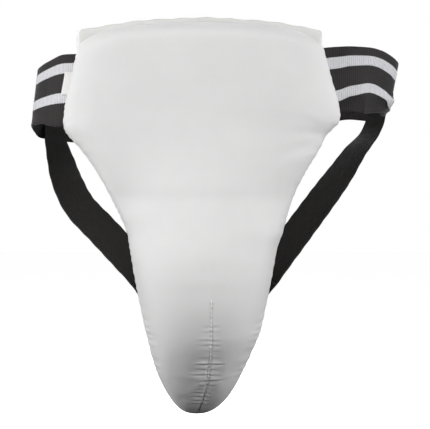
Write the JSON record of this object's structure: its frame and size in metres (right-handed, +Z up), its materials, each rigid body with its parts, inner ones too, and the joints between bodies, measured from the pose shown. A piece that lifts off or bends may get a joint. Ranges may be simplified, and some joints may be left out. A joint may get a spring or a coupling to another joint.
{
  "type": "groin protector",
  "caption": "Padded groin protector: a flared front panel with a hard cup inside, an elastic waistband and an elastic leg strap on each side.",
  "frame": {"origin": "centre of the waist loop, at the middle of the waistband's height", "axes": "+Z up the wearer's body, -Y the way the wearer faces (the padded panel), +X towards the wearer's left"},
  "size_m": [0.2863, 0.1934, 0.289],
  "materials": {
    "cover_fabric": "matte",
    "lining_fabric": "matte",
    "foam": "matte",
    "shell_plastic": "matte",
    "thread_white": "matte",
    "thread_black": "matte",
    "label_fabric": "matte",
    "band_elastic": "matte",
    "strap_elastic": "matte"
  },
  "bodies": {
    "guard": {"front_cover": "cover_fabric", "back_lining": "lining_fabric", "belly_foam": "foam", "cup_foam": "foam", "cup_shell": "shell_plastic", "cup_rim_cushion": "foam", "top_hem": "cover_fabric", "hem_stitching": "thread_white", "perimeter_stitching": "thread_white", "dart_stitching": "thread_white", "side_label": "label_fabric", "waistband_left_side": "band_elastic", "waistband_right_side": "band_elastic", "left_band_stitching": "thread_black", "right_band_stitching": "thread_black", "left_upper_tack": "thread_black", "right_upper_tack": "thread_black", "left_lower_tack": "thread_black", "right_lower_tack": "thread_black"},
    "waistband_rear": {"waistband_rear": "band_elastic"},
    "left_leg_strap": {"left_leg_strap": "strap_elastic"},
    "right_leg_strap": {"right_leg_strap": "strap_elastic"}
  },
  "joints": [
    {"name": "waistband_rear_tilt", "type": "hinge", "parent": "guard", "child": "waistband_rear", "pos_m": [0, 0.032, 0], "axis": [1, 0, 0], "range_deg": [-30, 30], "stiffness_Nm_per_rad": 0.3},
    {"name": "left_leg_strap_swing", "type": "hinge", "parent": "guard", "child": "left_leg_strap", "pos_m": [-0.014, -0.0492, -0.209], "axis": [-0.4467, 0.338, 0.8284], "range_deg": [-20, 20], "stiffness_Nm_per_rad": 0.05, "deforming": ["left_leg_strap"]},
    {"name": "right_leg_strap_swing", "type": "hinge", "parent": "guard", "child": "right_leg_strap", "pos_m": [0.014, -0.0492, -0.209], "axis": [0.5018, 0.3268, 0.8008], "range_deg": [-20, 20], "stiffness_Nm_per_rad": 0.05, "deforming": ["right_leg_strap"]}
  ]
}
